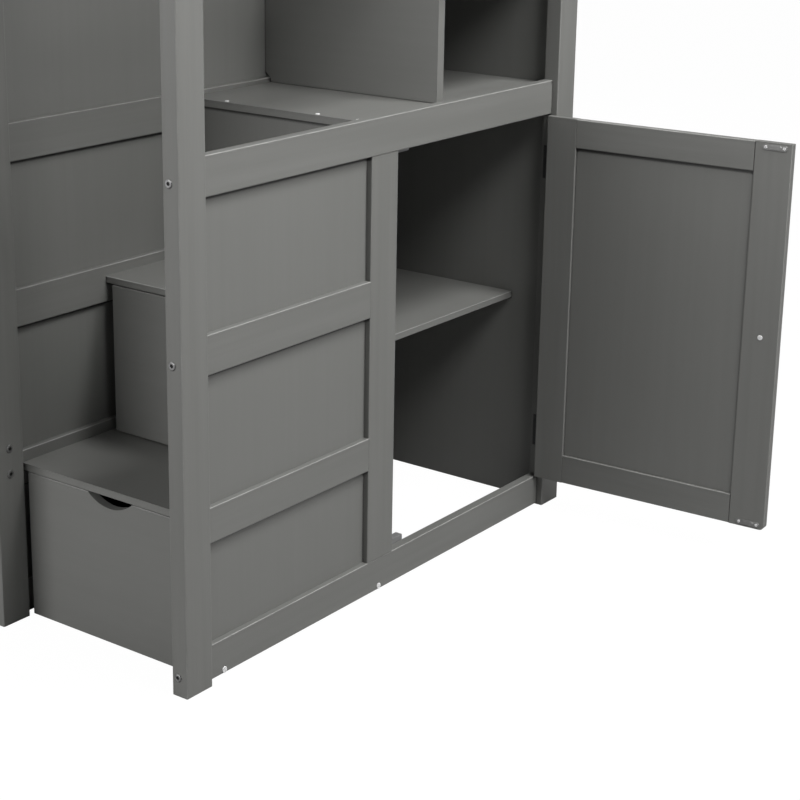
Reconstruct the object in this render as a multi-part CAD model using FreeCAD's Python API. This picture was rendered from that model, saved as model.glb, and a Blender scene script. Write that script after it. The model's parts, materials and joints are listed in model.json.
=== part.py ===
import FreeCAD, Part
import math
import os

# Loft bed with desk: a twin bed carried on tall posts, reached by storage stairs at its +X end.
# The stairs hold two drawers, a cabinet with a hinged door in the +X end, and an open cubby.
# Under the bed stand a desk and a low bookcase.
#
# All sizes are in millimetres. X runs along the bed with the stairs at the +X end, Y runs from
# the front (-Y) to the wall side (+Y), and Z is up. The model is drawn from the stair end's
# outer face (X = 0), the front plane (Y = 0) and the floor (Z = 0). At the end it is moved so
# that its origin is the middle of its footprint, with the door standing open.

V = FreeCAD.Vector
UP = V(0, 0, 1)

# ---------------------------------------------------------------- driving dimensions
DEPTH = 1060            # front to back, over the posts
HEIGHT = 1780           # floor to the top of the posts
STAIR_WIDTH = 402       # outer end face to the inner post's near face
BED_SPAN = 1925         # clear length between the bed's posts

POST_X = 30             # post section along X
POST_Y = 57             # post section along Y
RAIL_T = 18             # thickness of rails and stiles
PANEL_T = 8             # thickness of the infill panels
BOARD_T = 12            # thickness of treads and the cabinet shelf
WALL_T = 15             # thickness of risers, drawer fronts and the door
INSET = 12              # rails stand this far behind the posts' outer face
EASE = 2                # radius of the eased long edges
FLOOR_GAP = 2           # rails and panels clear the floor by this much

BOTTOM_RAIL = (FLOOR_GAP, 60)
LOWER_RAIL = (226, 284)
MIDDLE_RAIL = (491, 553)
UPPER_RAIL = (757, 818)
BED_RAIL = (1230, 1350)
GUARD_H = 60
GUARD_PITCH = 143.25
GUARDS_ABOVE_BED = 3
GUARDS_BY_STAIRS = 5
STILE_Y = (463, 534)    # stile between the panelled half and the cabinet door

TREAD_TOPS = (265, 536, 810, 1082)
TREAD_FRONTS = (63, 265, 470, 687)
BACK_WALL_Y = 1024      # inner face of the wall behind the stairs
BACK_WALL_T = 12

DOOR_GAP = 2            # gap round the closed door
DOOR_HINGE_STILE_W = 60
DOOR_FREE_STILE_W = 67
DOOR_TOP_RAIL_W = 52
DOOR_BOTTOM_RAIL_W = 55
DOOR_PANEL_T = 6
DOOR_CORNER_R = 9       # round of the free lower corner
DOOR_REST_ANGLE = 93    # the door stands this far open at rest, against the post

HINGE_LENGTH = 60
HINGE_ZS = (150, 668)   # middles of the two hinges
LEAF_T = 0.8
KNUCKLE_R = 2.6
PIN_R = 1.2
PIN_CLEARANCE = 0.05
HINGE_POCKET_R = 3.1    # round pocket in post and door that clears the knuckles

DRAWER_SIDE_T = 12
DRAWER_BOTTOM_T = 4
CUTOUT_WIDTH = 96
CUTOUT_DEPTH = 18

SLAT_COUNT = 14
SLAT_W = 70
SLAT_T = 18
SLAT_TOP = 1318
CLEAT_T = 18
CLEAT_H = 25

DESK_TOP_Z = 755
DESK_BOARD_T = 18
DESK_FRONT_Y = 466
BOOKCASE_W = 418        # over its two sides
BOOKCASE_SHELF_Z = 320

# ---------------------------------------------------------------- places worked out from them
OUTER_POST = (-POST_X, 0)
INNER_POST = (-STAIR_WIDTH - POST_X, -STAIR_WIDTH)
FAR_POST = (INNER_POST[0] - BED_SPAN - POST_X, INNER_POST[0] - BED_SPAN)
FRONT_POST_Y = (0, POST_Y)
REAR_POST_Y = (DEPTH - POST_Y, DEPTH)
BETWEEN_POSTS_Y = (POST_Y, DEPTH - POST_Y)
OUTER_RAIL = (-POST_X, -INSET)
INNER_RAIL = (INNER_POST[0], INNER_POST[0] + RAIL_T)
FAR_RAIL = (FAR_POST[0] + INSET, FAR_POST[1])
BED_X = (FAR_POST[1], INNER_POST[0])
STAIR_X = (INNER_RAIL[1], -POST_X)          # clear width inside the stairs
STAIR_BACK_X = (-STAIR_WIDTH, -POST_X)      # between the two rear stair posts
TREAD_UNDERS = tuple(top - BOARD_T for top in TREAD_TOPS)
CABINET_WALL_Y = (TREAD_FRONTS[2] + 2, TREAD_FRONTS[2] + 2 + WALL_T)
LONG_BOARD_Y = ((14, 14 + RAIL_T), (DEPTH - 14 - RAIL_T, DEPTH - 14))
OPENING_Y = (STILE_Y[1], DEPTH - POST_Y)
OPENING_Z = (BOTTOM_RAIL[1], UPPER_RAIL[0])

nodes = {}


def add(name, *solids):
    """Puts solids into the named piece, which becomes one file."""
    nodes.setdefault(name, []).extend(solids)


def board(x, y, z, ease=EASE):
    """A board between three (low, high) pairs, with the edges along its length eased."""
    size = [high - low for low, high in (x, y, z)]
    box = Part.makeBox(*size, V(x[0], y[0], z[0]))
    if not ease:
        return box
    along = size.index(max(size))
    return box.makeFillet(ease, edges_along(box, along))


def edges_along(shape, axis):
    """The straight edges of a box that run along axis 0, 1 or 2."""
    return [e for e in shape.Edges if abs(e.tangentAt(e.FirstParameter)[axis]) > 0.99]


def cylinder(radius, length, start, direction):
    return Part.makeCylinder(radius, length, V(*start), V(*direction))


def guard_heights(count):
    """Low and high Z of the topmost guard boards, counted down from the posts' top."""
    for k in range(count):
        low = HEIGHT - GUARD_H - k * GUARD_PITCH
        yield (low, low + GUARD_H)


# ---------------------------------------------------------------- posts and end frames
def make_posts():
    tall = (0, HEIGHT)
    add("stair_front_post", board(OUTER_POST, FRONT_POST_Y, tall))
    add("stair_rear_post", board(OUTER_POST, REAR_POST_Y, tall).cut(hinge_pockets()))
    add("inner_front_post", board(INNER_POST, FRONT_POST_Y, tall))
    add("inner_rear_post", board(INNER_POST, REAR_POST_Y, tall))
    add("far_posts", board(FAR_POST, FRONT_POST_Y, tall), board(FAR_POST, REAR_POST_Y, tall))


def make_outer_end():
    """The +X end of the stairs: three panels in front, the cabinet's doorway behind."""
    panelled_y = (POST_Y, STILE_Y[0])
    add("end_bottom_rail", board(OUTER_RAIL, BETWEEN_POSTS_Y, BOTTOM_RAIL))
    add("end_top_rail", board(OUTER_RAIL, BETWEEN_POSTS_Y, UPPER_RAIL))
    add("end_middle_stile", board(OUTER_RAIL, STILE_Y, OPENING_Z))
    for rail in (LOWER_RAIL, MIDDLE_RAIL):
        add("end_cross_rails", board(OUTER_RAIL, panelled_y, rail))
    panel_x = (-POST_X, -POST_X + PANEL_T)
    for low, high in ((BOTTOM_RAIL, LOWER_RAIL), (LOWER_RAIL, MIDDLE_RAIL), (MIDDLE_RAIL, UPPER_RAIL)):
        add("end_infill_panels", board(panel_x, panelled_y, (low[1], high[0]), ease=0))


def make_inner_side():
    """The framed and panelled side between the stairs and the space under the bed."""
    rails = (BOTTOM_RAIL, LOWER_RAIL, MIDDLE_RAIL, UPPER_RAIL, BED_RAIL)
    for rail in rails:
        add("inner_side_rails", board(INNER_RAIL, BETWEEN_POSTS_Y, rail))
    panel_x = (INNER_POST[0], INNER_POST[0] + PANEL_T)
    for low, high in zip(rails, rails[1:]):
        add("inner_side_panels", board(panel_x, BETWEEN_POSTS_Y, (low[1], high[0]), ease=0))


def make_far_end():
    """The far end of the bed: panelled up to desk height, open above it."""
    rails = (BOTTOM_RAIL, MIDDLE_RAIL, UPPER_RAIL)
    for rail in rails + (BED_RAIL,):
        add("far_end_rails", board(FAR_RAIL, BETWEEN_POSTS_Y, rail))
    panel_x = (FAR_POST[1] - PANEL_T, FAR_POST[1])
    for low, high in zip(rails, rails[1:]):
        add("far_end_panels", board(panel_x, BETWEEN_POSTS_Y, (low[1], high[0]), ease=0))


def make_guards():
    """Boards that stop a sleeper or a climber from falling, and the stile beside the way in."""
    stile_y = (600, 657)
    add("entry_stile", board(INNER_POST, stile_y, (BED_RAIL[1], HEIGHT)))
    for z in guard_heights(GUARDS_ABOVE_BED):
        for y in LONG_BOARD_Y:
            add("long_guard_boards", board(BED_X, y, z))
        add("end_guard_boards", board(FAR_RAIL, BETWEEN_POSTS_Y, z))
        add("end_guard_boards", board(INNER_RAIL, (POST_Y, stile_y[0]), z))
    for z in guard_heights(GUARDS_BY_STAIRS):
        add("stair_guard_boards", board(OUTER_RAIL, BETWEEN_POSTS_Y, z))
        add("stair_guard_boards", board(STAIR_BACK_X, LONG_BOARD_Y[1], z))


# ---------------------------------------------------------------- stairs
def notch_for_post(shape, clearance=0.0):
    """Cuts a board's corner away where the inner rear post stands in it."""
    reach = (INNER_POST[0] - 1, INNER_POST[1] + clearance)
    return shape.cut(board(reach, (REAR_POST_Y[0] - clearance, DEPTH), (0, HEIGHT), ease=0))


def make_treads():
    """Each tread runs back to the next wall, so it is also the deck under what stands on it."""
    backs = (CABINET_WALL_Y[0], CABINET_WALL_Y[0], BACK_WALL_Y, BACK_WALL_Y)
    for k, (top, front, back) in enumerate(zip(TREAD_TOPS, TREAD_FRONTS, backs), start=1):
        tread = board(STAIR_X, (front, back), (top - BOARD_T, top))
        add(f"tread_{k}", notch_for_post(tread))


def make_stair_walls():
    add("cabinet_front_wall", board(STAIR_X, CABINET_WALL_Y, (16, TREAD_UNDERS[2]), ease=0))
    back_y = (BACK_WALL_Y, BACK_WALL_Y + BACK_WALL_T)
    add("stair_rear_panel", board(STAIR_BACK_X, back_y, (FLOOR_GAP, TREAD_TOPS[3]), ease=0))
    rails_y = (back_y[1], back_y[1] + RAIL_T)
    for z in (BOTTOM_RAIL, MIDDLE_RAIL, UPPER_RAIL, (TREAD_TOPS[3] - 60, TREAD_TOPS[3])):
        add("stair_rear_rails", board(STAIR_BACK_X, rails_y, z))


def make_cubby():
    """The open cubby under the top tread: its riser, notched over the inner rail, and an apron."""
    panel_face = INNER_POST[0] + PANEL_T
    riser_y = (TREAD_FRONTS[3] + 2, TREAD_FRONTS[3] + 2 + RAIL_T)
    riser = board((panel_face, -47), riser_y, (TREAD_TOPS[2], TREAD_UNDERS[3]))
    low = TREAD_TOPS[2]
    notch = Part.makePolygon([V(panel_face - 1, riser_y[0] - 1, low - 1),
                              V(panel_face - 1, riser_y[0] - 1, low + 20),
                              V(INNER_RAIL[1] + 3, riser_y[0] - 1, low + 8),
                              V(INNER_RAIL[1] + 3, riser_y[0] - 1, low - 1),
                              V(panel_face - 1, riser_y[0] - 1, low - 1)])
    riser = riser.cut(Part.Face(notch).extrude(V(0, RAIL_T + 2, 0)))
    add("cubby_riser", riser)
    add("cubby_apron", board(OUTER_RAIL, (TREAD_FRONTS[3] + 2, BETWEEN_POSTS_Y[1]),
                             (TREAD_TOPS[3] - 42, TREAD_TOPS[3])))


def make_supports():
    """Cleats under the treads and slats, floor stretchers, and the strips the drawers glide on."""
    sides = ((STAIR_X[0], STAIR_X[0] + CLEAT_T), (STAIR_X[1] - CLEAT_T, STAIR_X[1]))
    runs = ((90, CABINET_WALL_Y[0]), (292, CABINET_WALL_Y[0]), (CABINET_WALL_Y[1], BETWEEN_POSTS_Y[1]))
    for x in sides:
        for under, y in zip(TREAD_UNDERS, runs):
            add("support_cleats", board(x, y, (under - CLEAT_H, under), ease=1))
    for y in ((36, 56), (DEPTH - 56, DEPTH - 36)):
        add("support_cleats", board(BED_X, y, (SLAT_TOP - SLAT_T - 30, SLAT_TOP - SLAT_T)))
    for y in ((85, 110), (483, 508)):
        add("floor_stretchers", board(STAIR_X, y, (0, 16), ease=1))
    glides = ((16, 19.6, 85), (TREAD_TOPS[0], TREAD_TOPS[0] + 3.6, 290))
    for low, high, front in glides:
        for x in ((-394, -378), (-54, -38)):
            add("drawer_glides", board(x, (front, CABINET_WALL_Y[0]), (low, high), ease=0.5))


# ---------------------------------------------------------------- drawers
def make_drawer(name, front_y, z, box_z):
    """A drawer with a full front, a half-moon finger cut-out, two sides, a back and a bottom."""
    x = (-STAIR_WIDTH + 3, -POST_X - 3)
    middle = (x[0] + x[1]) / 2
    front = board(x, (front_y, front_y + WALL_T), z)
    radius = (CUTOUT_WIDTH ** 2 / 4 + CUTOUT_DEPTH ** 2) / (2 * CUTOUT_DEPTH)
    centre = (middle, front_y - 1, z[1] - CUTOUT_DEPTH + radius)
    front = front.cut(cylinder(radius, WALL_T + 2, centre, (0, 1, 0)))
    add(f"{name}_front", front)
    back_y = 455
    inner = (front_y + WALL_T, back_y - DRAWER_SIDE_T)
    left = (x[0] + 7, x[0] + 7 + DRAWER_SIDE_T)
    right = (x[1] - 7 - DRAWER_SIDE_T, x[1] - 7)
    for side in (left, right):
        add(f"{name}_box", board(side, (inner[0], back_y), box_z, ease=1))
    between = (left[1], right[0])
    add(f"{name}_box", board(between, (inner[1], back_y), box_z, ease=1))
    bottom_z = (box_z[0] + 4, box_z[0] + 4 + DRAWER_BOTTOM_T)
    add(f"{name}_box", board(between, inner, bottom_z, ease=0))


def make_drawers():
    low, high = FLOOR_GAP, TREAD_UNDERS[0] - 1.5
    make_drawer("lower_drawer", TREAD_FRONTS[0], (low, high), (20, 222))
    low, high = TREAD_TOPS[0] + 2, TREAD_UNDERS[1] - 1.5
    make_drawer("upper_drawer", TREAD_FRONTS[1], (low, high), (TREAD_TOPS[0] + 4, 490))


# ---------------------------------------------------------------- cabinet and door
DOOR_X = (-INSET - WALL_T, -INSET)
DOOR_Y = (OPENING_Y[0] + DOOR_GAP, OPENING_Y[1] - DOOR_GAP)
DOOR_Z = (OPENING_Z[0] + DOOR_GAP, OPENING_Z[1] - DOOR_GAP)
HINGE_X = -INSET
HINGE_Y = OPENING_Y[1] - DOOR_GAP / 2
FREE_STILE_Y = (DOOR_Y[0], DOOR_Y[0] + DOOR_FREE_STILE_W)
HINGE_STILE_Y = (DOOR_Y[1] - DOOR_HINGE_STILE_W, DOOR_Y[1])
CATCH_Y = (540, 553, 587)


def swing_open(shape):
    """Turns a door piece, drawn closed, to the open rest position."""
    return shape.rotated(V(HINGE_X, HINGE_Y, 0), UP, DOOR_REST_ANGLE)


def hinge_pockets():
    """Round pockets for the hinge knuckles, cut in the post and in the door's edge."""
    pockets = [cylinder(HINGE_POCKET_R, HINGE_LENGTH + 1, (HINGE_X, HINGE_Y, z - HINGE_LENGTH / 2 - 0.5),
                        (0, 0, 1)) for z in HINGE_ZS]
    return Part.makeCompound(pockets)


def make_door():
    between = (FREE_STILE_Y[1], HINGE_STILE_Y[0])
    free_stile = board(DOOR_X, FREE_STILE_Y, DOOR_Z)
    corner = (FREE_STILE_Y[0], DOOR_Z[0])
    free_stile = free_stile.cut(corner_waste(corner, DOOR_CORNER_R))
    hinge_stile = board(DOOR_X, HINGE_STILE_Y, DOOR_Z).cut(hinge_pockets())
    top_rail = board(DOOR_X, between, (DOOR_Z[1] - DOOR_TOP_RAIL_W, DOOR_Z[1]))
    bottom_rail = board(DOOR_X, between, (DOOR_Z[0], DOOR_Z[0] + DOOR_BOTTOM_RAIL_W))
    middle_x = sum(DOOR_X) / 2
    panel_x = (middle_x - DOOR_PANEL_T / 2, middle_x + DOOR_PANEL_T / 2)
    panel_z = (DOOR_Z[0] + DOOR_BOTTOM_RAIL_W, DOOR_Z[1] - DOOR_TOP_RAIL_W)
    add("door_free_stile", swing_open(free_stile))
    add("door_hinge_stile", swing_open(hinge_stile))
    add("door_rails", swing_open(top_rail), swing_open(bottom_rail))
    add("door_panel", swing_open(board(panel_x, between, panel_z, ease=0)))


def corner_waste(corner, radius):
    """The waste outside a quarter round at the door's free lower corner."""
    y, z = corner
    x, length = DOOR_X[0] - 1, WALL_T + 2
    block = Part.makeBox(length, radius + 1, radius + 1, V(x, y - 1, z - 1))
    return block.cut(cylinder(radius, length, (x, y + radius, z + radius), (1, 0, 0)))


def make_knob():
    """A turned knob on the door's outer face, held by a screw from inside."""
    y, z = sum(FREE_STILE_Y) / 2, 414
    profile = [V(0, 0, 0), V(0, 8, 0), V(4, 6.5, 0), V(9, 7.5, 0)]
    base = [Part.makeLine(a, b) for a, b in zip(profile, profile[1:])]
    crown = Part.Arc(V(9, 7.5, 0), V(14, 14, 0), V(20, 10, 0)).toShape()
    cap = Part.Arc(V(20, 10, 0), V(22.6, 6.5, 0), V(24, 2, 0)).toShape()
    tip = Part.makeLine(V(24, 2, 0), V(24, 0, 0))
    axis = Part.makeLine(V(24, 0, 0), V(0, 0, 0))
    wire = Part.Wire(base + [crown, cap, tip, axis])
    knob = Part.Face(wire).revolve(V(0, 0, 0), V(1, 0, 0), 360)
    knob.translate(V(DOOR_X[1], y, z))
    add("door_knob", swing_open(knob))
    head = cylinder(4.5, 1.5, (DOOR_X[0] - 1.5, y, z), (1, 0, 0))
    shank = cylinder(2, WALL_T + 10, (DOOR_X[0], y, z), (1, 0, 0))
    add("door_screws", swing_open(head.fuse(shank)))


def make_strike_plates():
    """Two small steel plates on the inside of the free stile, each held by two screws."""
    length, height, thick = 45, 10, 1
    for z in (DOOR_Z[0] + 8, DOOR_Z[1] - 8):
        y = (DOOR_Y[0] + 8, DOOR_Y[0] + 8 + length)
        plate = Part.makeBox(thick, length, height, V(DOOR_X[0] - thick, y[0], z - height / 2))
        plate = plate.makeFillet(height / 2 - 0.1, edges_along(plate, 0))
        add("strike_plates", swing_open(plate))
        for hole_y in (y[0] + 6, y[1] - 6):
            screw = cylinder(2.6, 0.6, (DOOR_X[0] - thick - 0.6, hole_y, z), (1, 0, 0))
            add("door_screws", swing_open(screw))


def make_hinges():
    """Two butt hinges. The post's leaf carries the outer knuckles, the door's leaf the middle one."""
    leaf_x = (HINGE_X - 13, HINGE_X - KNUCKLE_R + 1)
    third = HINGE_LENGTH / 3
    play = 0.3
    for z in HINGE_ZS:
        low = z - HINGE_LENGTH / 2
        bore = cylinder(PIN_R + PIN_CLEARANCE, HINGE_LENGTH + 2, (HINGE_X, HINGE_Y, low - 1), (0, 0, 1))
        middle = cylinder(KNUCKLE_R, third - 2 * play, (HINGE_X, HINGE_Y, low + third + play), (0, 0, 1))
        clear = cylinder(KNUCKLE_R + play, third, (HINGE_X, HINGE_Y, low + third), (0, 0, 1))
        outers = [cylinder(KNUCKLE_R, third, (HINGE_X, HINGE_Y, low + k * third), (0, 0, 1)) for k in (0, 2)]
        post_leaf = Part.makeBox(leaf_x[1] - leaf_x[0], LEAF_T, HINGE_LENGTH,
                                 V(leaf_x[0], OPENING_Y[1] - LEAF_T, low))
        post_leaf = post_leaf.cut(clear).fuse(outers).cut(bore)
        add("hinge_post_leaves", post_leaf)
        door_leaf = Part.makeBox(leaf_x[1] - leaf_x[0], LEAF_T, HINGE_LENGTH, V(leaf_x[0], DOOR_Y[1], low))
        for k in (0, 2):
            gap = cylinder(KNUCKLE_R + play, third + play, (HINGE_X, HINGE_Y, low + k * third - play * k / 2),
                           (0, 0, 1))
            door_leaf = door_leaf.cut(gap)
        add("hinge_door_leaves", swing_open(door_leaf.fuse(middle).cut(bore)))
        add("hinge_pins", cylinder(PIN_R, HINGE_LENGTH, (HINGE_X, HINGE_Y, low), (0, 0, 1)))


def make_cabinet():
    """The cabinet's one shelf on four pins, and the two magnetic catches behind the door."""
    top = 406
    shelf_y = (CABINET_WALL_Y[1] + 1, BACK_WALL_Y - 1)
    shelf = board((INNER_POST[0] + PANEL_T + 2, -96), shelf_y, (top - BOARD_T, top), ease=1)
    add("cabinet_shelf", notch_for_post(shelf, clearance=1))
    pin_r = 2.5
    for x in (-380, -112):
        for y, way in ((CABINET_WALL_Y[1], 1), (BACK_WALL_Y, -1)):
            add("shelf_pins", cylinder(pin_r, 10, (x, y, top - BOARD_T - pin_r), (0, way, 0)))
    for low in (BOTTOM_RAIL[1] - 14, UPPER_RAIL[0] - 9):
        z = (low, low + 23)
        add("catch_magnets", board((-44, -POST_X), CATCH_Y[:2], z, ease=0.5))
        add("catch_bodies", board((-44, -POST_X), CATCH_Y[1:], z, ease=1))


# ---------------------------------------------------------------- bed
def make_bed():
    for y in ((14, 36), (DEPTH - 36, DEPTH - 14)):
        add("bed_side_rails", board(BED_X, y, BED_RAIL))
    first = BED_X[0] + 40
    pitch = (BED_SPAN - 80 - SLAT_W) / (SLAT_COUNT - 1)
    for k in range(SLAT_COUNT):
        x = first + k * pitch
        add("mattress_slats", board((x, x + SLAT_W), (38, DEPTH - 38), (SLAT_TOP - SLAT_T, SLAT_TOP)))
    add("rear_floor_rail", board(BED_X, LONG_BOARD_Y[1], BOTTOM_RAIL))


# ---------------------------------------------------------------- desk and bookcase
def make_desk():
    """A desk across the far part, and a bookcase next to the stairs, with their tops level."""
    under = DESK_TOP_Z - DESK_BOARD_T
    back = LONG_BOARD_Y[1][0] - 4
    split = BED_X[1] - BOOKCASE_W
    add("desk_top", board((BED_X[0], split), (DESK_FRONT_Y, back), (under, DESK_TOP_Z)))
    rail_x = (BED_X[0] + DESK_BOARD_T, split)
    add("desk_rails", board(rail_x, (back - RAIL_T, back), (under - 100, under)))
    add("desk_rails", board(rail_x, (DESK_FRONT_Y + 20, DESK_FRONT_Y + 20 + RAIL_T), (under - 60, under)))
    side_z = (0, under)
    far = (BED_X[0], rail_x[0])
    near = (split, split + DESK_BOARD_T)
    inner = (BED_X[1] - DESK_BOARD_T, BED_X[1])
    add("desk_side_panels", board(far, (DESK_FRONT_Y, back), side_z))
    add("desk_side_panels", board(near, (LONG_BOARD_Y[0][0], back), side_z))
    add("desk_side_panels", board(inner, (POST_Y + 1, back), side_z))
    add("bookcase_front_rail", board((near[1], BED_X[1]), (14, 36), (BOOKCASE_SHELF_Z - 80, BOOKCASE_SHELF_Z)))
    add("bookcase_shelves", board((near[1], inner[0]), (36, back),
                                  (BOOKCASE_SHELF_Z - DESK_BOARD_T, BOOKCASE_SHELF_Z)))
    add("bookcase_shelves", board((split, BED_X[1]), (14, back), (under, DESK_TOP_Z)))


# ---------------------------------------------------------------- fasteners
def bolt(point, direction, length=70):
    """A socket-head connector bolt. Its low head sits on the face and its shank runs into the wood."""
    start, way = V(*point), V(*direction)
    head = Part.makeCylinder(6, 1.6, start - way * 1.6, way)
    head = head.makeFillet(0.6, [head.Edges[0]])
    socket = Part.makeCylinder(2.4, 1.2, start - way * 1.7, way)
    return head.cut(socket).fuse(Part.makeCylinder(3, length, start, way))


def screw(point, direction, length=30, head_radius=3.6):
    """A wood screw with a low round head."""
    start, way = V(*point), V(*direction)
    rise = head_radius * 0.25
    head = Part.makeCylinder(head_radius, rise, start - way * rise, way)
    return head.fuse(Part.makeCylinder(1.8, length, start, way))


def middle_of(pair):
    return (pair[0] + pair[1]) / 2


def make_fasteners():
    frame_rails = (BOTTOM_RAIL, MIDDLE_RAIL, UPPER_RAIL)
    doorway_rails = (BOTTOM_RAIL, UPPER_RAIL)
    bed_rails = frame_rails + (BED_RAIL,)
    for x, front_rails, rear_rails in ((-18, frame_rails, doorway_rails),
                                       (INNER_POST[0] + 9, bed_rails, bed_rails),
                                       (FAR_POST[1] - 9, bed_rails, bed_rails)):
        for rail in front_rails:
            add("frame_bolts", bolt((x, 0, middle_of(rail)), (0, 1, 0)))
        for rail in rear_rails:
            add("frame_bolts", bolt((x, DEPTH, middle_of(rail)), (0, -1, 0)))
    for y in (25, DEPTH - 25):
        for z in (BED_RAIL[0] + 15, BED_RAIL[0] + 45):
            add("frame_bolts", bolt((INNER_POST[1], y, z), (-1, 0, 0)))
            add("frame_bolts", bolt((FAR_POST[0], y, z), (1, 0, 0)))
    for z in (BOOKCASE_SHELF_Z - 62, BOOKCASE_SHELF_Z - 19):
        add("frame_bolts", bolt((INNER_POST[1], 28, z), (-1, 0, 0)))
    for y in (97.5, 495.5):
        add("frame_screws", screw((-INSET, y, 8), (-1, 0, 0), 45, 5.2))
    wall_middle = middle_of(CABINET_WALL_Y)
    for x in (-331, -136, -53):
        add("frame_screws", screw((x, wall_middle, TREAD_TOPS[2]), (0, 0, -1)))


def write_files():
    """Moves every piece to the footprint's middle and writes one STEP file for each."""
    os.makedirs("parts", exist_ok=True)
    whole = Part.makeCompound([s for solids in nodes.values() for s in solids]).BoundBox
    shift = V(-(whole.XMin + whole.XMax) / 2, -(whole.YMin + whole.YMax) / 2, -whole.ZMin)
    for name, solids in nodes.items():
        shape = Part.makeCompound(solids) if len(solids) > 1 else solids[0]
        shape = shape.translated(shift)
        if not shape.isValid() or not all(s.ShapeType == "Solid" for s in shape.Solids):
            print("not valid:", name)
        shape.exportStep(f"parts/{name}.step")
    print(f"{len(nodes)} pieces, overall {whole.XLength:.2f} x {whole.YLength:.2f} x {whole.ZLength:.2f}")
    print(f"shift {shift.x:.4f} {shift.y:.4f} {shift.z:.4f}")
    hinge = V(HINGE_X, HINGE_Y, 0) + shift
    print(f"door hinge axis at {hinge.x:.4f} {hinge.y:.4f}")


make_posts()
make_outer_end()
make_inner_side()
make_far_end()
make_guards()
make_treads()
make_stair_walls()
make_cubby()
make_supports()
make_drawers()
make_door()
make_knob()
make_strike_plates()
make_hinges()
make_cabinet()
make_bed()
make_desk()
make_fasteners()
write_files()
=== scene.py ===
# %% [markdown]
# A loft bed with a desk under it and storage stairs at one end.
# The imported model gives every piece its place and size, and this script gives them their looks.
# Everything is in metres. X runs along the bed towards the stairs, Y runs from the front to the
# wall side, and Z is up.

# %% Load the frame
import json
import math

import bmesh
import bpy
from mathutils import Matrix, Vector


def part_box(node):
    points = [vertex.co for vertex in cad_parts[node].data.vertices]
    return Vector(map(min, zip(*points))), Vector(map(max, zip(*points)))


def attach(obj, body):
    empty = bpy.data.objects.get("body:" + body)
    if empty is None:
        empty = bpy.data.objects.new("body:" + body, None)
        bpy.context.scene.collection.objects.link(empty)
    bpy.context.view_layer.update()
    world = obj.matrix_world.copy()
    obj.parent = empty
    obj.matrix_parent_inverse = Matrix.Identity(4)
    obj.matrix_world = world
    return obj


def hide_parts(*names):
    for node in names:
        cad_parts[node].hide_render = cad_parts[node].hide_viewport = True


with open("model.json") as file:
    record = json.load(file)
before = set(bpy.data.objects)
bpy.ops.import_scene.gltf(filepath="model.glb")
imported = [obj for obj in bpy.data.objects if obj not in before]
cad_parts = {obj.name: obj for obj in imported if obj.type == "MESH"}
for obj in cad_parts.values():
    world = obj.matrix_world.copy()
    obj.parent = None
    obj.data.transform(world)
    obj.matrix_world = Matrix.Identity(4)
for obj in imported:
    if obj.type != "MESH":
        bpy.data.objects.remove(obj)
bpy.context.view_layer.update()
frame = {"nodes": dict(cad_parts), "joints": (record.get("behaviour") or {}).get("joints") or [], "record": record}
node_body = {node: body for body, nodes in frame["record"]["behaviour"]["bodies"].items() for node in nodes}
print("nodes to finish:", len(node_body), "on bodies:", sorted(set(node_body.values())))

# %% [markdown]
# The camera comes first, so that every later choice can be judged through it. It stands out from
# the stair end's front corner, a little above an adult's waist, and looks down on the steps.
# A long lens keeps the posts nearly parallel. The view is cropped low and to one side, which the
# lens shift does without tilting the posts.

# %% Camera
corner = Vector((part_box("stair_front_post")[1].x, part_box("stair_front_post")[0].y, 0))
EYE_FROM_CORNER = Vector((1.7083, -1.8374, 1.3152))
AZIMUTH, ELEVATION, ROLL = (math.radians(angle) for angle in (36.797, 16.203, 0.699))
LENS_MM = 82.739
SHIFT_SIDE, SHIFT_UP = 0.0375, -0.094
NEAREST_SEEN = 0.05


def camera_turn(azimuth, elevation, roll):
    """The camera's rotation: azimuth 0 looks along +Y, and roll leans the view."""
    back = Vector((math.sin(azimuth) * math.cos(elevation),
                   -math.cos(azimuth) * math.cos(elevation), math.sin(elevation)))
    right = Vector((math.cos(azimuth), math.sin(azimuth), 0))
    up = back.cross(right)
    leaned_right = right * math.cos(roll) + up * math.sin(roll)
    leaned_up = up * math.cos(roll) - right * math.sin(roll)
    return Matrix((leaned_right, leaned_up, back)).transposed().to_4x4()


def link(thing):
    bpy.context.collection.objects.link(thing)
    return thing


camera = link(bpy.data.objects.new("camera", bpy.data.cameras.new("camera")))
camera.matrix_world = Matrix.Translation(corner + EYE_FROM_CORNER) @ camera_turn(AZIMUTH, ELEVATION, ROLL)
camera.data.lens = LENS_MM
camera.data.shift_x = SHIFT_SIDE
camera.data.shift_y = SHIFT_UP
camera.data.clip_start = NEAREST_SEEN
bpy.context.scene.camera = camera
bpy.context.scene.view_settings.view_transform = "Standard"
print("camera at", [round(c, 3) for c in camera.matrix_world.translation])

# %% [markdown]
# Nodes are placed in many trees below, for shaders and for geometry, so one short helper does it.
# It takes a node's kind, its inputs by name or number, and its settings. An input that is another
# node's socket gets a link, and anything else becomes the socket's own value.


# %% Helpers that place nodes
def put(tree, kind, inputs=None, **settings):
    node = tree.nodes.new(kind)
    for name, value in settings.items():
        setattr(node, name, value)
    for key, value in (inputs or {}).items():
        if isinstance(value, bpy.types.NodeSocket):
            tree.links.new(value, node.inputs[key])
        else:
            node.inputs[key].default_value = value
    return node


def calc(tree, operation, *values):
    """One Math node. Its inputs are numbers or sockets, and it gives back its output."""
    return put(tree, "ShaderNodeMath", dict(enumerate(values)), operation=operation).outputs[0]


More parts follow.
